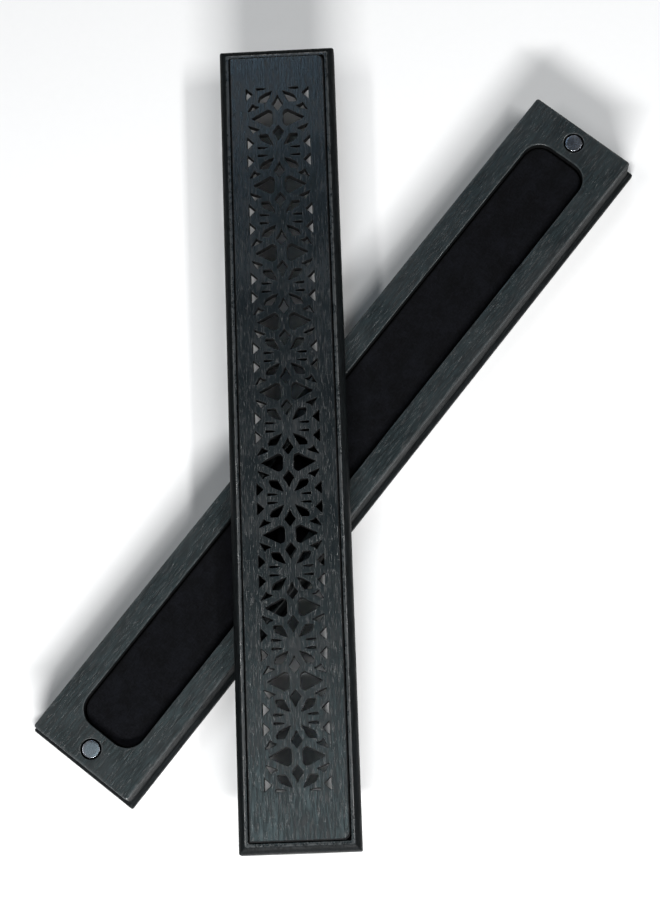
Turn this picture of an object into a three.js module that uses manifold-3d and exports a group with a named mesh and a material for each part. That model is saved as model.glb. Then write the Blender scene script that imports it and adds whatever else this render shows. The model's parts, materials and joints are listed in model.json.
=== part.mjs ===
// A long, low incense box of dark stained wood. The tray holds a heat mat that an incense stick
// lies on. The lid is a moulded frame with a fretted board let into its top, and it lies across the
// tray, turned on its flat underside. Two disc magnets in the tray and two in the lid hold the box
// shut when the lid is turned in line with the tray.
//
// Millimetres, +Z up. The origin is the centre of the tray's underside, and +X runs along the tray.

import * as THREE from "three";
import { mergeVertices } from "three/addons/utils/BufferGeometryUtils.js";
import Module from "manifold-3d";

const wasm = await Module();
wasm.setup();

// ---- Driving dimensions ------------------------------------------------------------------------

const GAP = 0.3; // clearance between pieces that touch on the real box

// Outline that the tray's body and the lid share, so that they close flush
const BODY_LENGTH = 240;
const BODY_WIDTH = 34.6;

// Tray
const TRAY_HEIGHT = 13;
const FOOT_PROJECTION = 1.2; // how far the foot moulding stands out, and its quarter-round's radius
const FOOT_EDGE = 1.8; // upright edge under the quarter-round
const RECESS_LENGTH = 219.2;
const RECESS_WIDTH = 20.4;
const RECESS_CORNER = 5.8;
const RECESS_FLOOR = 8;
const MAT_THICKNESS = 2.7;

// Lid frame
const LID_EDGE = 4.7; // upright edge from the underside to the quarter-round
const LID_ROUND = 2.6; // radius of the quarter-round
const LID_CORNER = 3; // inner corners of the frame's opening

// Fretted board
const BOARD_INSET = 3.15; // from the lid's edge to the board's edge
const BOARD_RISE = 0.9; // how far the board stands above the quarter-round
const BOARD_THICKNESS = 2.5;

// Fret: a flower-shaped repeat, counted from one flower's centre to the next
const FRET_REPEATS = 10;
const FRET_PITCH = 21.17;
const FRET_SHIFT = 1.9; // the fret sits nearer to one end of the board

// Magnets
const MAGNET_DIAMETER = 5;
const MAGNET_THICKNESS = 2;
const MAGNET_CHAMFER = 0.2;
const MAGNET_SUNK = 0.1; // below the face it sits in
const MAGNET_FROM_END = 5; // from the body's end to the magnet's centre
const SOCKET_DIAMETER = 6;

// Where the lid lies: shut, and then turned by this angle about this point of the tray's top
const SWIVEL_X = -20;
const SWIVEL_Y = -7;
const LID_ANGLE = THREE.MathUtils.degToRad(40);

// Derived heights and places
const MAT_BOTTOM = RECESS_FLOOR + GAP;
const LID_UNDERSIDE = TRAY_HEIGHT + GAP;
const FRAME_HEIGHT = LID_EDGE + LID_ROUND;
const BOARD_BOTTOM = FRAME_HEIGHT + BOARD_RISE - BOARD_THICKNESS;
const BOARD_LENGTH = BODY_LENGTH - 2 * BOARD_INSET;
const BOARD_WIDTH = BODY_WIDTH - 2 * BOARD_INSET;
const MAGNET_X = BODY_LENGTH / 2 - MAGNET_FROM_END;
const SOCKET_DEPTH = MAGNET_THICKNESS + MAGNET_SUNK + GAP;

const ARC_SEGMENTS = 4; // three.js draws twice as many chords on each arc
const DISC_SEGMENTS = 32;

// ---- Materials ---------------------------------------------------------------------------------

const stainedWood = new THREE.MeshStandardMaterial({ color: 0x2a2f30, roughness: 0.5, metalness: 0 });
const heatMat = new THREE.MeshStandardMaterial({ color: 0x101114, roughness: 0.95, metalness: 0 });
const nickel = new THREE.MeshStandardMaterial({ color: 0xb4b4bc, roughness: 0.25, metalness: 1 });

// ---- Solids ------------------------------------------------------------------------------------

// A closed three.js geometry as a manifold-3d solid.
function solidFrom(geometry) {
  const bare = geometry.index ? geometry.toNonIndexed() : geometry.clone();
  bare.deleteAttribute("normal");
  bare.deleteAttribute("uv");
  const merged = mergeVertices(bare);
  const mesh = new wasm.Mesh({
    numProp: 3,
    vertProperties: merged.attributes.position.array,
    triVerts: new Uint32Array(merged.index.array),
  });
  return new wasm.Manifold(mesh);
}

// A manifold-3d solid as a three.js geometry.
function geometryFrom(solid) {
  const { vertProperties, triVerts } = solid.getMesh();
  const geometry = new THREE.BufferGeometry();
  geometry.setAttribute("position", new THREE.BufferAttribute(vertProperties, 3));
  geometry.setIndex(new THREE.BufferAttribute(triVerts, 1));
  geometry.computeVertexNormals();
  return geometry;
}

function subtractAll(solid, cuts) {
  return cuts.reduce((rest, cut) => rest.subtract(solidFrom(cut)), solid);
}

// A flat outline in X and Y, or a list of them, raised from one height to another.
function raised(shape, bottom, top) {
  const settings = { depth: top - bottom, bevelEnabled: false, curveSegments: ARC_SEGMENTS };
  return new THREE.ExtrudeGeometry(shape, settings).translate(0, 0, bottom);
}

// A rectangle centred on the origin, with rounded corners when a radius is given.
function rectangle(length, width, radius = 0) {
  const x = length / 2;
  const y = width / 2;
  const shape = new THREE.Shape();
  if (radius === 0) {
    shape.moveTo(-x, -y).lineTo(x, -y).lineTo(x, y).lineTo(-x, y);
    return shape;
  }
  const quarter = Math.PI / 2;
  shape.moveTo(-x + radius, -y);
  shape.absarc(x - radius, -y + radius, radius, -quarter, 0);
  shape.absarc(x - radius, y - radius, radius, 0, quarter);
  shape.absarc(-x + radius, y - radius, radius, quarter, 2 * quarter);
  shape.absarc(-x + radius, -y + radius, radius, 2 * quarter, 3 * quarter);
  return shape;
}

// A block with the same moulding on all four sides, mitred at its corners: the long bar and the
// cross bar of that moulding, where they overlap. section(half) is the bar's end view, across by up.
function mouldedBlock(length, width, section) {
  const settings = { bevelEnabled: false, curveSegments: ARC_SEGMENTS };
  const longBar = new THREE.ExtrudeGeometry(section(width / 2), { ...settings, depth: length });
  longBar.translate(0, 0, -length / 2);
  longBar.rotateX(Math.PI / 2);
  longBar.rotateZ(Math.PI / 2);
  const crossBar = new THREE.ExtrudeGeometry(section(length / 2), { ...settings, depth: width });
  crossBar.translate(0, 0, -width / 2);
  crossBar.rotateX(Math.PI / 2);
  return solidFrom(longBar).intersect(solidFrom(crossBar));
}

// End view of the tray: an upright body on a foot with a quarter-round edge. half is to the foot's edge.
function traySection(half) {
  const body = half - FOOT_PROJECTION;
  const shape = new THREE.Shape();
  shape.moveTo(-half, 0).lineTo(half, 0).lineTo(half, FOOT_EDGE);
  shape.absarc(body, FOOT_EDGE, FOOT_PROJECTION, 0, Math.PI / 2);
  shape.lineTo(body, TRAY_HEIGHT).lineTo(-body, TRAY_HEIGHT);
  shape.absarc(-body, FOOT_EDGE, FOOT_PROJECTION, Math.PI / 2, Math.PI);
  return shape;
}

// End view of the lid's frame: an upright edge under a quarter-round.
function lidSection(half) {
  const crown = half - LID_ROUND;
  const shape = new THREE.Shape();
  shape.moveTo(-half, 0).lineTo(half, 0).lineTo(half, LID_EDGE);
  shape.absarc(crown, LID_EDGE, LID_ROUND, 0, Math.PI / 2);
  shape.absarc(-crown, LID_EDGE, LID_ROUND, Math.PI / 2, Math.PI);
  return shape;
}

// The blind round sockets that two magnets sit in, one near each end.
function socketCuts(bottom, top) {
  const radius = SOCKET_DIAMETER / 2;
  return [-MAGNET_X, MAGNET_X].map((x) => {
    const cut = new THREE.CylinderGeometry(radius, radius, top - bottom, DISC_SEGMENTS);
    return cut.rotateX(Math.PI / 2).translate(x, 0, (bottom + top) / 2);
  });
}

function trayGeometry() {
  const foot = 2 * FOOT_PROJECTION;
  const block = mouldedBlock(BODY_LENGTH + foot, BODY_WIDTH + foot, traySection);
  const above = TRAY_HEIGHT + 1;
  const recess = raised(rectangle(RECESS_LENGTH, RECESS_WIDTH, RECESS_CORNER), RECESS_FLOOR, above);
  return geometryFrom(subtractAll(block, [recess, ...socketCuts(TRAY_HEIGHT - SOCKET_DEPTH, above)]));
}

function matGeometry() {
  const outline = rectangle(RECESS_LENGTH - 2 * GAP, RECESS_WIDTH - 2 * GAP, RECESS_CORNER - GAP);
  return raised(outline, MAT_BOTTOM, MAT_BOTTOM + MAT_THICKNESS);
}

function lidFrameGeometry() {
  const block = mouldedBlock(BODY_LENGTH, BODY_WIDTH, lidSection);
  const below = -1;
  const above = FRAME_HEIGHT + 1;
  const opening = raised(rectangle(RECESS_LENGTH, RECESS_WIDTH, LID_CORNER), below, above);
  const rebate = raised(
    rectangle(BOARD_LENGTH + 2 * GAP, BOARD_WIDTH + 2 * GAP),
    BOARD_BOTTOM - GAP,
    above,
  );
  return geometryFrom(subtractAll(block, [opening, rebate, ...socketCuts(below, SOCKET_DEPTH)]));
}

// ---- Fret --------------------------------------------------------------------------------------

// One quarter of the repeat, as [across, along] from a flower's centre. Each hole is mirrored to the
// other side and to the other half of the flower.
const SLIT = [[3.2, 1.2], [4.5, 0.95], [6.3, 0.9], [6.3, 1.6], [4.5, 1.5]];
const PETAL_GAP = [[1.55, 1.95], [3.35, 2.6], [5.1, 3.55], [5.7, 4.75], [5.6, 5.5], [3.4, 5.5], [2.65, 4.25]];
const EDGE_TRIANGLE = [[9.4, 0.95], [9.4, 4.75], [7.4, 2.8]];
const BARB = [[9.0, 8.4], [7.45, 5.85], [6.9, 6.5], [5.5, 6.95], [6.8, 7.6]];
const QUARTER_HOLES = [SLIT, PETAL_GAP, EDGE_TRIANGLE, BARB];

// The diamond on the centre line, mirrored only to the other half of the flower.
const DIAMOND = [[0, 3.25], [0.7, 4.75], [1.65, 6.15], [0, 8.3], [-1.65, 6.15], [-0.7, 4.75]];

// The wide triangle halfway between two flowers, mirrored only to the other side.
const HALFWAY = FRET_PITCH / 2;
const WIDE_TRIANGLE = [
  [7.95, HALFWAY],
  [2.9, HALFWAY - 2.7],
  [1.95, HALFWAY - 2.3],
  [1.6, HALFWAY - 1.6],
  [1.6, HALFWAY + 1.6],
  [1.95, HALFWAY + 2.3],
  [2.9, HALFWAY + 2.7],
];

// A hole at one flower; side and half are +1 or -1.
function placedHole(points, side, half, flower) {
  const centre = (flower - FRET_REPEATS / 2) * FRET_PITCH + FRET_SHIFT;
  const place = ([across, along]) => new THREE.Vector2(centre + half * along, side * across);
  return new THREE.Shape(points.map(place));
}

function fretHoles() {
  const holes = [];
  for (let flower = 0; flower <= FRET_REPEATS; flower += 1) {
    // The first and last flowers are halves
    const halves = [-1, 1].filter((half) => flower + half >= 0 && flower + half <= FRET_REPEATS);
    for (const half of halves) {
      holes.push(placedHole(DIAMOND, 1, half, flower));
      for (const side of [-1, 1]) {
        holes.push(...QUARTER_HOLES.map((points) => placedHole(points, side, half, flower)));
        if (half === 1) holes.push(placedHole(WIDE_TRIANGLE, side, half, flower));
      }
    }
  }
  return holes;
}

function boardGeometry() {
  const top = BOARD_BOTTOM + BOARD_THICKNESS;
  const board = solidFrom(raised(rectangle(BOARD_LENGTH, BOARD_WIDTH), BOARD_BOTTOM, top));
  const holes = raised(fretHoles(), BOARD_BOTTOM - 1, top + 1);
  return geometryFrom(subtractAll(board, [holes]));
}

// ---- Magnets -----------------------------------------------------------------------------------

// A disc standing on z = 0, with both rims chamfered.
function magnetGeometry() {
  const radius = MAGNET_DIAMETER / 2;
  const top = MAGNET_THICKNESS;
  const profile = [
    [0, 0],
    [radius - MAGNET_CHAMFER, 0],
    [radius, MAGNET_CHAMFER],
    [radius, top - MAGNET_CHAMFER],
    [radius - MAGNET_CHAMFER, top],
    [0, top],
  ];
  const points = profile.map(([r, z]) => new THREE.Vector2(r, z));
  return new THREE.LatheGeometry(points, DISC_SEGMENTS).rotateX(Math.PI / 2);
}

// Two magnets named prefix_near and prefix_far, the far one towards +X.
function addMagnets(group, prefix, bottom) {
  for (const [end, x] of [["near", -MAGNET_X], ["far", MAGNET_X]]) {
    const magnet = new THREE.Mesh(magnetGeometry(), nickel);
    magnet.name = prefix + "_" + end;
    magnet.position.set(x, 0, bottom);
    group.add(magnet);
  }
}

// ---- Assembly ----------------------------------------------------------------------------------

function addMesh(group, name, geometry, material) {
  const mesh = new THREE.Mesh(geometry, material);
  mesh.name = name;
  group.add(mesh);
}

const incenseBox = new THREE.Group();
addMesh(incenseBox, "tray", trayGeometry(), stainedWood);
addMesh(incenseBox, "heat_mat", matGeometry(), heatMat);
addMagnets(incenseBox, "tray_magnet", TRAY_HEIGHT - MAGNET_SUNK - MAGNET_THICKNESS);

// The lid is drawn shut, in line with the tray, and the swivel group then turns it
const lid = new THREE.Group();
lid.position.set(-SWIVEL_X, -SWIVEL_Y, 0);
addMesh(lid, "lid_frame", lidFrameGeometry(), stainedWood);
addMesh(lid, "fret_board", boardGeometry(), stainedWood);
addMagnets(lid, "lid_magnet", MAGNET_SUNK);

const swivel = new THREE.Group();
swivel.position.set(SWIVEL_X, SWIVEL_Y, LID_UNDERSIDE);
swivel.rotation.z = LID_ANGLE;
swivel.add(lid);
incenseBox.add(swivel);

export default incenseBox;
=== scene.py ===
import json
import math

import bmesh
import bpy
from mathutils import Matrix, Vector, noise
from mathutils.geometry import tessellate_polygon


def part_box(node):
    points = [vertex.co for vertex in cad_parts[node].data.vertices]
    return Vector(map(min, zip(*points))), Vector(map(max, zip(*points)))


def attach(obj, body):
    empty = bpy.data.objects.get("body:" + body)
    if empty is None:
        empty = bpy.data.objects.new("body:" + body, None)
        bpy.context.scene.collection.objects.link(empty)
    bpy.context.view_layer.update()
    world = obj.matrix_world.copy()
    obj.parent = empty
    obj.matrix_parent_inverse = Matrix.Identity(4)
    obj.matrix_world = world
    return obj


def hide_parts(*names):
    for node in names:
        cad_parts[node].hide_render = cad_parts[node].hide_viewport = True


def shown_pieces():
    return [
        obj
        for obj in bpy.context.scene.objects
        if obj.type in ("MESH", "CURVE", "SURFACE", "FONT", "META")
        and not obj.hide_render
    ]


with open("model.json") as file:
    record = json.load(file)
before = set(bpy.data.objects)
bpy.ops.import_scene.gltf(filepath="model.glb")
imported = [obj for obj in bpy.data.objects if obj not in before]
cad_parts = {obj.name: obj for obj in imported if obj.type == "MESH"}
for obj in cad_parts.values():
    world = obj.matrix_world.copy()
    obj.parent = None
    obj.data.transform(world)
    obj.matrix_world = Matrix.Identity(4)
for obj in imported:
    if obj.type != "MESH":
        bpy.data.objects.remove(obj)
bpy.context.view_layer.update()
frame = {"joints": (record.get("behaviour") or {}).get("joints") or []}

# ---- Sizes, in millimetres, as the CAD source has them ------------------------------------------

MM = 0.001
FOOT_PROJECTION = 1.2
FOOT_EDGE = 1.8
RECESS = (219.2, 20.4)
RECESS_CORNER = 5.8
RECESS_FLOOR = 8.0
LID_EDGE = 4.7
LID_ROUND = 2.6
LID_CORNER = 3.0
GAP = 0.3
BOARD_INSET = 3.15
SOCKET_RADIUS = 3.0
SOCKET_DEPTH = 2.4
FRET_REPEATS = 10
FRET_PITCH = 21.17
FRET_SHIFT = 1.9

# The fret's holes as (across, along) from a flower's centre. Mirroring gives the rest of the repeat.
HALFWAY = FRET_PITCH / 2
SLIT = [(3.2, 1.2), (4.5, 0.95), (6.3, 0.9), (6.3, 1.6), (4.5, 1.5)]
PETAL_GAP = [(1.55, 1.95), (3.35, 2.6), (5.1, 3.55), (5.7, 4.75), (5.6, 5.5), (3.4, 5.5), (2.65, 4.25)]
EDGE_TRIANGLE = [(9.4, 0.95), (9.4, 4.75), (7.4, 2.8)]
BARB = [(9.0, 8.4), (7.45, 5.85), (6.9, 6.5), (5.5, 6.95), (6.8, 7.6)]
DIAMOND = [(0, 3.25), (0.7, 4.75), (1.65, 6.15), (0, 8.3), (-1.65, 6.15), (-0.7, 4.75)]
WIDE_TRIANGLE = [
    (7.95, HALFWAY), (2.9, HALFWAY - 2.7), (1.95, HALFWAY - 2.3), (1.6, HALFWAY - 1.6),
    (1.6, HALFWAY + 1.6), (1.95, HALFWAY + 2.3), (2.9, HALFWAY + 2.7),
]

# ---- Sizes that only the looks need, in millimetres ---------------------------------------------

EASED = 0.4  # rounding of the tray's upper edges
RIM = 0.3  # rounding of the recess's upper edge
STRIP = 0.35  # flat strip beside a rounded edge, which keeps the flat's shading even
LEAD = 0.4  # height of a wall's last row of faces, under its rounded edge
LEAST_RADIUS = 0.02  # keeps the points of a sharp corner apart

# ---- Places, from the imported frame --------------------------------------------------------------

tray_low, tray_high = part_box("tray")
lid_low, lid_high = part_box("lid_frame")
board_low, board_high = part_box("fret_board")
mat_low, mat_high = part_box("heat_mat")

# The lid is in line with the tray at its hinge's lower limit
lid_angle = -math.radians(frame["joints"][0]["range_deg"][0])
lid_centre = (lid_low + lid_high) / 2
LID_PLACE = Matrix.Translation((lid_centre.x, lid_centre.y, lid_low.z)) @ Matrix.Rotation(lid_angle, 4, "Z")

FOOT = ((tray_high.x - tray_low.x) / MM, (tray_high.y - tray_low.y) / MM)
BODY = (FOOT[0] - 2 * FOOT_PROJECTION, FOOT[1] - 2 * FOOT_PROJECTION)
TRAY_TOP = tray_high.z / MM
BOARD = (BODY[0] - 2 * BOARD_INSET, BODY[1] - 2 * BOARD_INSET)
BOARD_BOTTOM = (board_low.z - lid_low.z) / MM
BOARD_TOP = (board_high.z - lid_low.z) / MM
MAT = ((mat_high.x - mat_low.x) / MM, (mat_high.y - mat_low.y) / MM)

# ---- Mesh building ------------------------------------------------------------------------------

QUARTER = math.pi / 2
# Slot 1 is the near-black material: char on cut walls, and painted shade in recesses, sockets and grooves
MAIN, SAWN_AND_SHADED, SECOND = 0, 1, 2  # places in a wooden piece's list of materials


class Shell:
    """Rings of points in millimetres, and the faces between and inside them."""

    SLIVER = 1e-14  # a triangle whose edges have a smaller cross product than this has no area
    ON_AXIS = 1e-6  # a point nearer to y = 0 than this, in metres, is on it

    def __init__(self):
        self.bm = bmesh.new()
        self.wear_and_highlight = self.bm.verts.layers.float.new("wear_and_highlight")

    def ring(self, points, wear_and_highlight=0.0):
        made = [self.bm.verts.new(Vector(p) * MM) for p in points]
        for vert in made:
            vert[self.wear_and_highlight] = wear_and_highlight
        return made

    def face(self, corners, kind):
        made = self.bm.faces.new(corners)
        made.material_index = kind
        made.smooth = True

    def skin(self, a, b, kind=MAIN):
        """Quads from ring a to ring b, which run anticlockwise, with b above a or inside it on top."""
        for i in range(len(a)):
            j = (i + 1) % len(a)
            self.face((a[i], a[j], b[j], b[i]), kind)

    def skins(self, rings, kind=MAIN):
        """Quads from each ring to the next. Returns the last ring."""
        for a, b in zip(rings, rings[1:]):
            self.skin(a, b, kind)
        return rings[-1]

    def fill(self, outline, holes=(), up=True, kind=MAIN):
        """Triangles across a flat outline, less its holes."""
        loops = [outline, *holes]
        verts = [v for loop in loops for v in loop]
        for triple in tessellate_polygon([[v.co / MM for v in loop] for loop in loops]):
            corners = [verts[i] for i in triple]
            normal = (corners[1].co - corners[0].co).cross(corners[2].co - corners[0].co)
            if normal.length < self.SLIVER:
                continue
            if (normal.z > 0) != up:
                corners.reverse()
            self.face(corners, kind)

    def zip_up(self, ring, up=True):
        """Closes a ring that is its own mirror image across y = 0 with one strip of faces."""
        axis = sorted((v.co.x, i) for i, v in enumerate(ring) if abs(v.co.y) < self.ON_AXIS)
        (_, left), (_, right) = axis[0], axis[-1]
        count = len(ring)
        lower = [ring[(left + k) % count] for k in range((right - left) % count + 1)]
        upper = [ring[(left - k) % count] for k in range((left - right) % count + 1)]
        for i in range(len(lower) - 1):
            corners = [lower[i], lower[i + 1], upper[i + 1], upper[i]]
            corners = list(dict.fromkeys(corners))
            if not up:
                corners.reverse()
            self.face(corners, MAIN)

    def piece(self, name, materials, body, slot, replaced, place=Matrix()):
        """Makes the object, hangs it on the empty of the body that it rides on, and hides the CAD parts that
        it stands for.
        """
        self.bm.normal_update()
        mesh = bpy.data.meshes.new(name)
        self.bm.to_mesh(mesh)
        self.bm.free()
        for material in materials:
            mesh.materials.append(material)
        obj = bpy.data.objects.new(name, mesh)
        bpy.context.scene.collection.objects.link(obj)
        obj.matrix_world = place
        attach(obj, body)
        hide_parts(*replaced)
        return obj


def arc(radius, steps, first=0.0, last=QUARTER):
    """(radius times cos, radius times sin) at even angles."""
    angles = [first + (last - first) * i / steps for i in range(steps + 1)]
    return [(radius * math.cos(angle), radius * math.sin(angle)) for angle in angles]


def rounded(size, radius, z, steps=4, sides=(1, 1)):
    """A rectangle's outline at height z, anticlockwise from the lower right corner. radius is one number, or
    one for each corner: lower right, upper right, upper left, lower left. sides is the number of steps along
    its length and its width."""
    radii = radius if hasattr(radius, "__len__") else (radius,) * 4
    signs = ((1, -1), (1, 1), (-1, 1), (-1, -1))
    corners = []
    for k, ((sx, sy), r) in enumerate(zip(signs, radii)):
        r = max(r, LEAST_RADIUS)
        x, y = sx * (size[0] / 2 - r), sy * (size[1] / 2 - r)
        start = QUARTER * (k - 1)
        corners.append([(x + across, y + up) for across, up in arc(r, steps, start, start + QUARTER)])
    points = []
    for k, corner in enumerate(corners):
        points += corner
        (x, y), (next_x, next_y) = corner[-1], corners[(k + 1) % 4][0]
        n = sides[1] if k % 2 == 0 else sides[0]
        points += [(x + (next_x - x) * i / n, y + (next_y - y) * i / n) for i in range(1, n)]
    return [(x, y, z) for x, y in points]


def inset(size, by):
    return (size[0] - 2 * by, size[1] - 2 * by)


def circle(centre, radius, z, steps=48):
    points = arc(radius, steps, 0, 2 * math.pi)[:-1]
    return [(centre[0] + across, centre[1] + up, z) for across, up in points]


def soft_corners(points, radius, steps=3):
    """An outline with each corner turned into a short curve."""
    most = 0.45  # share of a side that a curve may take
    out = []
    count = len(points)
    for i, point in enumerate(points):
        p = Vector(point)
        before, after = Vector(points[i - 1]) - p, Vector(points[(i + 1) % count]) - p
        reach = min(radius, most * before.length, most * after.length)
        start, end = p + before.normalized() * reach, p + after.normalized() * reach
        for k in range(steps + 1):
            t = k / steps
            out.append((1 - t) ** 2 * start + 2 * t * (1 - t) * p + t * t * end)
    return out


def grown(points, by):
    """A closed outline moved outwards by a distance; it runs anticlockwise."""
    out = []
    for i, p in enumerate(points):
        along = points[(i + 1) % len(points)] - points[i - 1]
        out.append(p + Vector((along.y, -along.x)).normalized() * by)
    return out


def magnet_centre(node):
    low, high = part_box(node)
    return (low + high) / 2


# ---- Material building --------------------------------------------------------------------------


class Look:
    """A node material under construction: a Principled shader and short calls that add nodes to it.
    Scales are in waves to the metre, and distances in metres."""

    # Moves the noise so that no face lies on a plane where it is nought
    SHIFT = (0.0137, 0.0271, 0.0053)

    def __init__(self, name):
        self.material = bpy.data.materials.new(name)
        self.material.use_nodes = True
        self.tree = self.material.node_tree
        self.tree.nodes.clear()
        self.shader = self.node("ShaderNodeBsdfPrincipled")
        self.link(self.shader.outputs[0], self.node("ShaderNodeOutputMaterial").inputs[0])

    def node(self, kind, **settings):
        made = self.tree.nodes.new(kind)
        for key, value in settings.items():
            setattr(made, key, value)
        return made

    def link(self, a, b):
        self.tree.links.new(a, b)

    def feed(self, socket, value):
        """Links or sets a socket."""
        if isinstance(value, bpy.types.NodeSocket):
            self.link(value, socket)
        elif isinstance(value, (tuple, list)) and len(value) == 3 and socket.type == "RGBA":
            socket.default_value = (*value, 1.0)
        else:
            socket.default_value = value

    def set(self, **values):
        """Links or sets the shader's sockets, which are named with _ for a space."""
        for key, value in values.items():
            self.feed(self.shader.inputs[key.replace("_", " ")], value)

    def object_place(self):
        return self.node("ShaderNodeTexCoord").outputs["Object"]

    def place(self):
        return self.added(self.object_place(), self.SHIFT)

    def math(self, operation, a, b, clamp=False):
        made = self.node("ShaderNodeMath", operation=operation, use_clamp=clamp)
        self.feed(made.inputs[0], a)
        self.feed(made.inputs[1], b)
        return made.outputs[0]

    def times(self, value, factor):
        return self.math("MULTIPLY", value, factor)

    def sum(self, first, *others, clamp=False):
        """Adds them one by one. clamp holds each sum to 0..1."""
        total = first
        for other in others:
            total = self.math("ADD", total, other, clamp)
        return total

    def vector_math(self, operation, a, b):
        made = self.node("ShaderNodeVectorMath", operation=operation)
        self.feed(made.inputs[0], a)
        self.feed(made.inputs[1], b)
        return made.outputs[0]

    def scaled(self, vector, scale):
        return self.vector_math("MULTIPLY", vector, scale)

    def added(self, a, b):
        return self.vector_math("ADD", a, b)

    def noise(self, vector, scale=1.0, detail=3.0, roughness=0.55, colour=False):
        made = self.node("ShaderNodeTexNoise")
        self.feed(made.inputs["Vector"], vector)
        for key, value in (("Scale", scale), ("Detail", detail), ("Roughness", roughness)):
            made.inputs[key].default_value = value
        return made.outputs["Color" if colour else "Fac"]

    def grain(self, vector, along, across, **settings):
        """Noise with this many waves to the metre along X and across it."""
        return self.noise(self.scaled(vector, (along, across, across)), **settings)

    def between(self, value, low, high, to_low=0.0, to_high=1.0):
        """value from low..high to to_low..to_high, eased and held at the ends."""
        made = self.node("ShaderNodeMapRange", interpolation_type="SMOOTHSTEP")
        keys = ("Value", "From Min", "From Max", "To Min", "To Max")
        for key, x in zip(keys, (value, low, high, to_low, to_high)):
            self.feed(made.inputs[key], x)
        return made.outputs["Result"]

    def mix(self, share, a, b):
        made = self.node("ShaderNodeMix", data_type="RGBA")
        sockets = {s.identifier: s for s in made.inputs}
        self.feed(sockets["Factor_Float"], share)
        self.feed(sockets["A_Color"], a)
        self.feed(sockets["B_Color"], b)
        return next(s for s in made.outputs if s.identifier == "Result_Color")

    def bump(self, height, distance, strength, under=None):
        made = self.node("ShaderNodeBump")
        made.inputs["Strength"].default_value = strength
        made.inputs["Distance"].default_value = distance
        self.feed(made.inputs["Height"], height)
        if under is not None:
            self.link(under, made.inputs["Normal"])
        return made.outputs["Normal"]

    def attribute(self, name):
        return self.node("ShaderNodeAttribute", attribute_name=name).outputs["Fac"]


def wood(name, dark, light, worn_and_highlight, roughness, specular):
    """Stained wood with its grain along X: broad bands, fibres, open pores, rubbed edges. The rubbed edges'
    lighter colour also serves as a painted highlight on the lid moulding's crown.
    """
    look = Look(name)
    here = look.place()
    sway = look.added(look.grain(here, 14, 60, detail=2, colour=True), (-0.5, -0.5, -0.5))
    bent = look.added(here, look.scaled(sway, (0, 0.0004, 0.0004)))
    fibre = look.grain(bent, 210, 2400, detail=4, roughness=0.6)
    strand = look.grain(bent, 120, 1300, detail=2)
    band = look.grain(bent, 12, 150, detail=2)
    pore = look.between(look.grain(bent, 300, 4300, detail=1), 0.60, 0.70)
    tone = look.sum(look.times(fibre, 0.60), look.times(strand, 0.25), look.times(band, 0.15))
    colour = look.mix(look.between(tone, 0.42, 0.60), dark, light)
    colour = look.mix(look.times(pore, 0.55), colour, tuple(c * 0.35 for c in dark))
    patch = look.noise(here, scale=900)
    # Lighter on rubbed edges, and on the lid moulding's crown as a painted highlight
    rub_and_highlight = look.times(look.attribute("wear_and_highlight"), look.between(patch, 0.35, 0.7))
    colour = look.mix(rub_and_highlight, colour, worn_and_highlight)
    smooth = look.between(tone, 0.40, 0.62, roughness + 0.10, roughness - 0.07)
    smudge = look.between(look.noise(here, scale=55), 0.35, 0.65, -0.04, 0.05)
    rough = look.sum(smooth, smudge, look.times(pore, 0.16), look.times(rub_and_highlight, 0.3), clamp=True)
    height = look.sum(look.times(fibre, 0.7), look.times(strand, 0.6), look.times(pore, -0.5))
    look.set(Base_Color=colour, Roughness=rough, Normal=look.bump(height, distance=0.00006, strength=0.8))
    look.set(Specular_IOR_Level=specular)
    return look.material


def cut_and_shaded_edge(name):
    """Sawn walls and recesses: near black, matt, with fine upright marks. The near black is partly char on
    the laser-cut fret walls and board edge, and partly painted shade: in the holes and the rebate groove, on
    the walls of the tray's recess and in the magnet sockets.
    """
    look = Look(name)
    here = look.place()
    marks = look.noise(look.scaled(here, (5200, 5200, 260)), detail=2)
    char_and_shade_patches = look.between(look.noise(here, scale=700), 0.35, 0.65)
    # Near black throughout: char on the laser-cut walls, and painted shade in the recess, the sockets and the
    # rebate groove
    colour = look.mix(char_and_shade_patches, (0.0014, 0.0015, 0.0017), (0.0045, 0.0048, 0.0052))
    look.set(Base_Color=colour, Roughness=look.between(marks, 0.3, 0.7, 0.62, 0.82))
    look.set(Normal=look.bump(marks, distance=0.00004, strength=0.7))
    look.set(Specular_IOR_Level=0.12)
    return look.material


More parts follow.
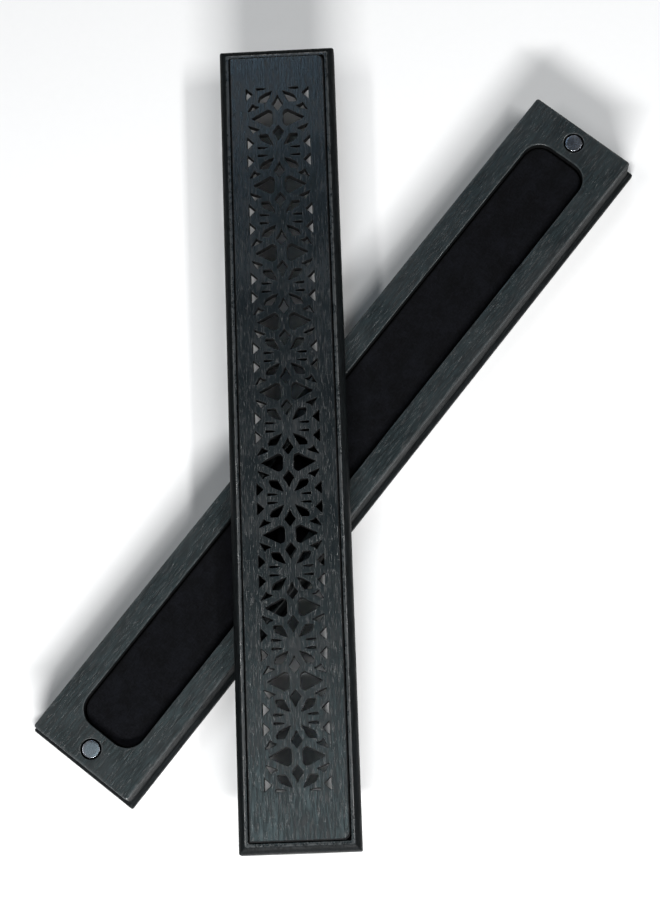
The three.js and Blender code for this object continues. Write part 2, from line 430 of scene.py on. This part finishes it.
def felt(name):
    """Heatproof felt: matted fibres, soft mottling and a few pale flecks of ash."""
    look = Look(name)
    here = look.place()
    drift = look.noise(here, scale=260, detail=4, colour=True)
    tangled = look.added(here, look.scaled(drift, (0.0022, 0.0022, 0.0022)))
    one_way = look.noise(look.scaled(tangled, (700, 4200, 2000)))
    other_way = look.noise(look.scaled(tangled, (3900, 800, 2000)))
    fuzz = look.math("MAXIMUM", one_way, other_way)
    blotch = look.noise(here, scale=210, detail=4, roughness=0.6)
    shade = look.sum(look.times(fuzz, 0.6), look.times(blotch, 0.5))
    colour = look.mix(look.between(shade, 0.45, 0.75), (0.0006, 0.0007, 0.0012), (0.0030, 0.0034, 0.0052))
    cell = look.node("ShaderNodeTexVoronoi")
    look.feed(cell.inputs["Vector"], tangled)
    look.feed(cell.inputs["Scale"], 85)
    chosen = look.between(cell.outputs["Color"], 0.74, 0.76)
    fleck = look.times(look.between(cell.outputs["Distance"], 0.024, 0.040, 1.0, 0.0), chosen)
    colour = look.mix(look.times(fleck, 0.8), colour, (0.11, 0.11, 0.115))
    look.set(Base_Color=colour, Roughness=look.between(fuzz, 0.4, 0.7, 0.98, 0.86))
    coarse = look.bump(blotch, distance=0.0005, strength=0.5)
    look.set(Normal=look.bump(fuzz, distance=0.00016, strength=0.8, under=coarse))
    look.set(Specular_IOR_Level=0.10, Sheen_Weight=0.03, Sheen_Roughness=0.5)
    return look.material


def nickel(name):
    """Nickel plate, ground flat: faint rings, fine scratches and dull patches."""
    look = Look(name)
    here = look.place()
    flat = look.scaled(look.object_place(), (1, 1, 0))
    length = look.node("ShaderNodeVectorMath", operation="LENGTH")
    look.link(flat, length.inputs[0])
    rings = look.node("ShaderNodeTexNoise", noise_dimensions="1D")
    look.feed(rings.inputs["W"], look.times(length.outputs["Value"], 9000.0))
    look.feed(rings.inputs["Scale"], 1)
    look.feed(rings.inputs["Detail"], 2)
    scratch = look.noise(look.scaled(here, (500, 5000, 500)), detail=2)
    dull = look.between(look.noise(here, scale=500), 0.4, 0.65)
    rough = look.sum(look.between(scratch, 0.35, 0.65, 0.22, 0.25), look.times(dull, 0.05))
    look.set(Base_Color=look.mix(dull, (0.40, 0.42, 0.47), (0.35, 0.37, 0.41)), Metallic=1.0, Roughness=rough)
    height = look.sum(look.times(rings.outputs["Fac"], 0.6), look.times(scratch, 0.4))
    look.set(Normal=look.bump(height, distance=0.000004, strength=0.12))
    return look.material


tray_wood = wood(
    "stained_wood_tray",
    dark=(0.0022, 0.0042, 0.0048),
    light=(0.0205, 0.0280, 0.0300),
    worn_and_highlight=(0.026, 0.034, 0.036),
    roughness=0.28,
    specular=0.60,
)
# A darker, matter copy of the wood for the lid's moulding and the tray's sides: its darker tone is painted
# shade on these steep faces. Its light rubbed-edge colour is also a painted highlight on the moulding's crown
shaded_moulding_wood = wood(
    "stained_wood_moulding_painted_shade",
    dark=(0.0015, 0.0021, 0.0024),
    light=(0.0050, 0.0066, 0.0074),
    worn_and_highlight=(0.035, 0.044, 0.047),
    roughness=0.52,
    specular=0.08,
)
board_wood = wood(
    "fret_wood_board",
    dark=(0.0016, 0.0030, 0.0040),
    light=(0.0092, 0.0128, 0.0146),
    worn_and_highlight=(0.013, 0.018, 0.020),
    roughness=0.22,
    specular=1.00,
)
cut_and_shaded_wood = cut_and_shaded_edge("fret_wood_cut_and_painted_shade")
mat_felt = felt("heat_mat_felt")
plate = nickel("nickel_plate")

# ---- Tray ---------------------------------------------------------------------------------------


def socket(shell, centre, top, down=-1):
    """A blind round socket into a face at height top. Returns its outer ring, for the face's fill."""
    strip, lip, lip_wear = 0.5, 0.12, 0.5
    rings = [
        shell.ring(circle(centre, SOCKET_RADIUS + strip, top)),
        shell.ring(circle(centre, SOCKET_RADIUS + lip, top), lip_wear),
        shell.ring(circle(centre, SOCKET_RADIUS, top + down * lip)),
        shell.ring(circle(centre, SOCKET_RADIUS, top + down * SOCKET_DEPTH)),
    ]
    # The socket's lower wall and floor are near black: painted shade in the gap round the magnet
    for a, b, kind in zip(rings, rings[1:], (MAIN, MAIN, SAWN_AND_SHADED)):
        if down > 0:
            a, b = b, a
        shell.skin(a, b, kind)
    shell.fill(rings[-1], up=down < 0, kind=SAWN_AND_SHADED)
    return rings[0]


def tray_rings(shell):
    """The rings of the tray's sides, from its underside up, and of its upper edge. One ring is in both."""
    foot_corner, body_corner, under = 0.5, 0.8, 0.35
    under_wear, foot_wear, edge_wear = 0.5, 0.1, 0.6
    bend, bend_rise = 0.05, 0.08  # between the foot's quarter-round and the side
    foot_top = FOOT_EDGE + FOOT_PROJECTION
    side_top = TRAY_TOP - EASED
    sides = []
    for across, up in arc(under, 3, -QUARTER, 0):
        sides.append((under - across, under + up, foot_corner, under_wear))
    for across, up in arc(FOOT_PROJECTION, 8)[:-1]:
        sides.append((FOOT_PROJECTION - across, FOOT_EDGE + up, foot_corner, foot_wear))
    sides.append((FOOT_PROJECTION - bend, foot_top, body_corner, 0.0))
    sides.append((FOOT_PROJECTION, foot_top + bend_rise, body_corner, 0.0))
    sides.append((FOOT_PROJECTION, side_top - LEAD, body_corner, 0.0))
    edge = []
    for across, up in arc(EASED, 4):
        edge.append((FOOT_PROJECTION + EASED - across, side_top + up, body_corner, edge_wear))
    edge.append((FOOT_PROJECTION + EASED + STRIP, TRAY_TOP, body_corner, 0.0))
    rings = [shell.ring(rounded(inset(FOOT, by), r, z), wear_and_highlight) for by, z, r, wear_and_highlight in sides + edge]
    return rings[: len(sides) + 1], rings[len(sides) :]


def recess_ring(shell, by, z, wear_and_highlight=0.0):
    """A ring of the recess's outline moved inwards by a distance."""
    return shell.ring(rounded(inset(RECESS, by), RECESS_CORNER - by, z, steps=8), wear_and_highlight)


def build_tray():
    shell = Shell()
    sides, edge = tray_rings(shell)
    shell.fill(sides[0], up=False)
    # The tray's sides take the darker moulding wood: painted shade
    shell.skins(sides, SECOND)
    outline = shell.skins(edge)
    rim_wear, cove = 0.5, 0.5
    rim = [recess_ring(shell, -RIM - STRIP, TRAY_TOP)]
    for across, up in arc(RIM, 3, QUARTER, 0):
        rim.append(recess_ring(shell, across - RIM, TRAY_TOP - RIM + up, rim_wear))
    shell.skins(rim)
    wall = [rim[-1], recess_ring(shell, 0, TRAY_TOP - RIM - LEAD)]
    for across, up in arc(cove, 3):
        wall.append(recess_ring(shell, cove - across, RECESS_FLOOR + cove - up))
    # The recess wall is near black: painted shade
    shell.skins(wall, SAWN_AND_SHADED)
    shell.fill(wall[-1], kind=SAWN_AND_SHADED)
    sockets = []
    for end in ("near", "far"):
        centre = magnet_centre("tray_magnet_" + end) / MM
        sockets.append(socket(shell, (centre.x, centre.y), TRAY_TOP))
    shell.fill(outline, [rim[0], *sockets])
    shell.piece("tray_body", [tray_wood, cut_and_shaded_wood, shaded_moulding_wood], "base", "stained_wood", ["tray"])


build_tray()

# ---- Heat mat -----------------------------------------------------------------------------------


def ripple(x, y, length, width, layer):
    """Smooth noise from -1 to 1, with waves this long along X and this wide along Y."""
    return noise.noise(Vector((x / length, y / width, layer)))


def uneven(x, y, z, bottom, on_side):
    """A point of the mat, moved by the swell and nap of its surface and the wander of its side."""
    swell_height, nap_height, wander_share = 0.10, 0.05, 0.002
    rise = 2  # how far over its underside the unevenness is at its full size
    swell = swell_height * ripple(x, y, length=9, width=6, layer=3.1)
    nap = nap_height * ripple(x, y, length=1.7, width=1.7, layer=z)
    height = z + (swell + nap) * min(1.0, (z - bottom) / rise)
    if on_side:
        wander = 1 - wander_share * ripple(x, y, length=2.4, width=2.4, layer=7.7)
        x, y = x * wander, y * wander
    return x, y, height


def build_mat():
    shell = Shell()
    bottom, top = mat_low.z / MM, mat_high.z / MM
    slack, sink = 0.05, 0.12  # how far it stays inside the CAD mat's sides and top, for the swell
    roll = 0.7  # rounding of its upper edge
    row, middle = 0.9, 1.6  # distance between the rings on top, and half the strip left inside them
    size, corner, least_corner = inset(MAT, slack), RECESS_CORNER - GAP, 0.1
    lower_edge = ((0.5, 0.0), (0.12, 0.35), (0.0, 1.0))  # (inset, height) of its soft underside
    profile = [(by, bottom + up) for by, up in lower_edge]
    for across, up in arc(roll, 4):
        profile.append((roll - across, top - sink - roll + up))
    reach = roll
    while reach < size[1] / 2 - middle:
        reach += row
        profile.append((reach, top - sink))
    rings = []
    for by, z in profile:
        points = rounded(inset(size, by), max(corner - by, least_corner), z, steps=6, sides=(150, 10))
        if z > bottom:
            points = [uneven(*point, bottom, on_side=by < roll) for point in points]
        rings.append(shell.ring(points))
    shell.zip_up(rings[0], up=False)
    shell.zip_up(shell.skins(rings))
    mat = shell.piece("felt_mat", [mat_felt], "base", "heat_mat", ["heat_mat"])
    smooth = mat.modifiers.new("smooth", "SUBSURF")
    smooth.levels = smooth.render_levels = 1


build_mat()

# ---- Lid ----------------------------------------------------------------------------------------


def build_lid_frame():
    shell = Shell()
    corner, under, lip = 0.5, 0.25, 0.1
    under_wear, round_wear, crown_wear_and_highlight, mouth_wear = 0.4, 0.05, 0.6, 0.4
    crown_reach = 0.8  # width of the quarter-round's crown stretch, painted lighter: rubbed edge and painted highlight
    bead_start = 1.9  # from this far in, the frame's top has the board's finish
    rebate = BOARD_INSET - GAP
    ledge = BOARD_BOTTOM - GAP
    crown = LID_EDGE + LID_ROUND
    outside = [(under + STRIP, 0.0, 0.0)]
    for across, up in arc(under, 3, -QUARTER, 0):
        outside.append((under - across, under + up, under_wear))
    for across, up in arc(LID_ROUND, 12):
        # The crown stretch is painted lighter: rubbed edge and painted highlight
        wear_and_highlight = crown_wear_and_highlight if across < crown_reach else round_wear
        outside.append((LID_ROUND - across, LID_EDGE + up, wear_and_highlight))
    for across, up in arc(lip, 2, QUARTER, 0):
        outside.append((rebate - lip + across, crown - lip + up, crown_wear_and_highlight))
    outside.append((rebate, ledge, 0.0))
    rings = [shell.ring(rounded(inset(BODY, by), corner, z), wear_and_highlight) for by, z, wear_and_highlight in outside]
    bead = next(i for i, (by, _, _) in enumerate(outside) if by > bead_start)
    # The moulding's outside takes the darker moulding wood: painted shade on the steep faces
    shell.skins(rings[: bead + 1])
    shell.skins(rings[bead:-1], SECOND)
    # The rebate wall under the lip is near black: painted shade in the groove round the board
    shell.skins(rings[-2:], SAWN_AND_SHADED)
    chamfer, strip = 0.2, 0.3
    inside = [rings[-1]]
    mouth = [(0, ledge, 0.0), (0, chamfer, 0.0), (chamfer, 0.0, mouth_wear), (chamfer + strip, 0.0, 0.0)]
    for by, z, wear_and_highlight in mouth:
        inside.append(shell.ring(rounded(inset(RECESS, -by), LID_CORNER + by, z), wear_and_highlight))
    shell.skins(inside)
    sockets = []
    for end in ("near", "far"):
        centre = LID_PLACE.inverted() @ magnet_centre("lid_magnet_" + end) / MM
        sockets.append(socket(shell, (centre.x, centre.y), 0.0, down=1))
    shell.fill(rings[0], [inside[-1], *sockets], up=False)
    materials = [shaded_moulding_wood, cut_and_shaded_wood, board_wood]
    shell.piece("lid_moulding", materials, "lid", "stained_wood", ["lid_frame"], LID_PLACE)


def fret_outlines():
    """The fret's holes on the board, anticlockwise, as (along, across)."""
    found = []
    for flower in range(FRET_REPEATS + 1):
        centre = (flower - FRET_REPEATS / 2) * FRET_PITCH + FRET_SHIFT
        for half in (-1, 1):
            if not 0 <= flower + half <= FRET_REPEATS:
                continue
            shapes = [(DIAMOND, 1)]
            for side in (-1, 1):
                shapes += [(shape, side) for shape in (SLIT, PETAL_GAP, EDGE_TRIANGLE, BARB)]
                if half == 1:
                    shapes.append((WIDE_TRIANGLE, side))
            for shape, side in shapes:
                points = [Vector((centre + half * along, side * across)) for across, along in shape]
                area = sum(a.x * b.y - b.x * a.y for a, b in zip(points, points[1:] + points[:1]))
                found.append(points if area > 0 else points[::-1])
    return found


def build_board():
    shell = Shell()
    # The two corners on the lid's right, seen from its near end, are rounder than those on its left
    corners = (1.9, 0.35, 0.35, 1.9)
    chamfer, eased, strip, edge_wear = 0.1, 0.3, 0.3, 0.4
    profile = [(chamfer, BOARD_BOTTOM, 0.0), (0.0, BOARD_BOTTOM + chamfer, 0.0)]
    for across, up in arc(eased, 4):
        profile.append((eased - across, BOARD_TOP - eased + up, edge_wear))
    profile.append((eased + strip, BOARD_TOP, 0.0))
    rings = [shell.ring(rounded(inset(BOARD, by), corners, z, steps=6), wear_and_highlight) for by, z, wear_and_highlight in profile]
    # The board's edge is near black: char from the cut, and painted shade in the rebate groove
    shell.skins(rings[:-1], SAWN_AND_SHADED)
    outline = shell.skins(rings[-2:])
    hole_corner, hole_strip, lip, lip_wear = 0.22, 0.12, 0.12, 0.5
    bend = 0.3 * lip  # the middle of the rounded lip
    lip_profile = [(lip + hole_strip, 0, 0.0), (lip, 0, lip_wear), (bend, bend, lip_wear), (0, lip, 0.0)]
    upper, lower = [], []
    for points in fret_outlines():
        wall = soft_corners(points, hole_corner)
        top = []
        for by, depth, wear_and_highlight in lip_profile:
            top.append(shell.ring([(*p, BOARD_TOP - depth) for p in grown(wall, by)], wear_and_highlight))
        bottom = shell.ring([(*p, BOARD_BOTTOM) for p in wall])
        shell.skins(top[:2])
        # The holes' walls are near black: char from the cut, and painted shade inside the holes
        shell.skins([*top[1:], bottom], SAWN_AND_SHADED)
        upper.append(top[0])
        lower.append(bottom)
    shell.fill(outline, upper)
    shell.fill(rings[0], lower, up=False)
    shell.piece("fretted_board", [board_wood, cut_and_shaded_wood], "lid", "fret_wood", ["fret_board"], LID_PLACE)


build_lid_frame()
build_board()

# ---- Magnets ------------------------------------------------------------------------------------


def build_magnet(node, body, turn):
    """A disc with rounded edges, turned by an angle so that no two show the same scratches."""
    low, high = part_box(node)
    half, radius = (high.z - low.z) / 2 / MM, (high.x - low.x) / 2 / MM
    rim, rim_steps = 0.12, 4
    flat = (0.35, 0.7)  # where the rings on its two flats are, as shares of its radius
    profile = [(radius * share, -half) for share in flat]
    profile += [(radius - rim + c, -half + rim + s) for c, s in arc(rim, rim_steps, -QUARTER, 0)]
    profile += [(radius - rim + c, half - rim + s) for c, s in arc(rim, rim_steps)]
    profile += [(radius * share, half) for share in reversed(flat)]
    shell = Shell()
    rings = [shell.ring(circle((0, 0), r, z)) for r, z in profile]
    shell.fill(rings[0], up=False)
    shell.fill(shell.skins(rings))
    place = Matrix.Translation(magnet_centre(node)) @ Matrix.Rotation(turn, 4, "Z")
    shell.piece(node + "_disc", [plate], body, "nickel", [node], place)


build_magnet("tray_magnet_near", "base", turn=0.4)
build_magnet("tray_magnet_far", "base", turn=2.1)
build_magnet("lid_magnet_near", "lid", turn=1.2)
build_magnet("lid_magnet_far", "lid", turn=2.7)

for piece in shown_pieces():
    if not piece.modifiers:
        piece.modifiers.new("even shading", "WEIGHTED_NORMAL").weight = 75

# ---- Floor --------------------------------------------------------------------------------------

FLOOR_PALENESS = 0.87


def paper(name):
    """Pale paper with a slight tooth."""
    look = Look(name)
    tooth = look.noise(look.place(), scale=500)
    change = 0.01
    darker, lighter = (FLOOR_PALENESS - change,) * 3, (FLOOR_PALENESS + change,) * 3
    look.set(Base_Color=look.mix(tooth, darker, lighter), Roughness=look.between(tooth, 0.3, 0.7, 0.85, 0.95))
    look.set(Specular_IOR_Level=0.1)
    return look.material


def build_floor():
    bm = bmesh.new()
    bmesh.ops.create_grid(bm, x_segments=8, y_segments=8, size=4.0)
    mesh = bpy.data.meshes.new("floor")
    bm.to_mesh(mesh)
    bm.free()
    mesh.materials.append(paper("pale_floor"))
    floor = bpy.data.objects.new("floor", mesh)
    bpy.context.scene.collection.objects.link(floor)


build_floor()

# ---- Lights -------------------------------------------------------------------------------------


def softbox(name, azimuth, tilt, size, glow, distance=1.8, colour=(1, 1, 1), target=(0, 0, 0)):
    """A softbox at an azimuth from the lid's far end, in degrees anticlockwise, tilted from straight up.
    size is its width and height, and glow the brightness that it gives the pale floor by itself."""
    turn, lean = lid_angle + math.radians(azimuth), math.radians(tilt)
    way = Vector((math.cos(turn) * math.sin(lean), math.sin(turn) * math.sin(lean), math.cos(lean)))
    lamp = bpy.data.lights.new(name, "AREA")
    lamp.shape = "RECTANGLE"
    lamp.size, lamp.size_y = size
    lamp.energy = glow * math.pi**2 * distance**2 / math.cos(lean) / FLOOR_PALENESS
    lamp.color = colour
    obj = bpy.data.objects.new(name, lamp)
    bpy.context.scene.collection.objects.link(obj)
    place = Vector(target) + way * distance
    obj.location = place
    obj.rotation_euler = (Vector(target) - place).to_track_quat("-Z", "Y").to_euler()


softbox("near_key", azimuth=180, tilt=57, size=(0.5, 0.06), glow=0.76, distance=0.8)
softbox("far_key", azimuth=0, tilt=50, size=(0.9, 0.4), glow=0.05)
softbox("left_key", azimuth=90, tilt=31, size=(0.9, 0.16), glow=0.13)
softbox("right_key", azimuth=270, tilt=34, size=(0.9, 0.16), glow=0.29)

# Two weak lamps for the wood's sheen. Their mirror images in the tops are by the near ends and just beyond
# the lid's far end.
softbox(
    "near_sheen",
    azimuth=45,
    tilt=4,
    size=(0.3, 0.3),
    glow=0.0165,
    distance=1.5,
    colour=(0.76, 1.0, 1.04),
    target=(-0.11, -0.06, 0.02),
)
softbox(
    "far_sheen",
    azimuth=15,
    tilt=30,
    size=(0.3, 0.3),
    glow=0.023,
    distance=1.5,
    colour=(0.5, 0.74, 1.0),
    target=(0.08, 0.07, 0.02),
)

world = bpy.data.worlds.new("studio")
world.use_nodes = True
background = world.node_tree.nodes["Background"]
background.inputs["Color"].default_value = (0.93, 0.96, 1.0, 1)
background.inputs["Strength"].default_value = 0.003
bpy.context.scene.world = world
bpy.context.scene.view_settings.view_transform = "Standard"

# ---- Camera: its place in metres, and the lens for a picture 36 mm high -------------------------

PLACE = Vector((-0.104229, -0.114895, 0.658082))
LOOK = Vector((0.150695, 0.173018, -0.973278)).normalized()
PICTURE_UP = Vector((0.773157, 0.592935, 0.225185))

camera = bpy.data.cameras.new("camera")
camera.sensor_width = 36.0
camera.lens = 90.488
camera.clip_start, camera.clip_end = 0.01, 50
eye = bpy.data.objects.new("camera", camera)
bpy.context.scene.collection.objects.link(eye)
side = LOOK.cross(PICTURE_UP).normalized()
upward = side.cross(LOOK)
turned = Matrix((side, upward, -LOOK)).transposed().to_4x4()
eye.matrix_world = Matrix.Translation(PLACE) @ turned
bpy.context.scene.camera = eye

bpy.context.view_layer.update()
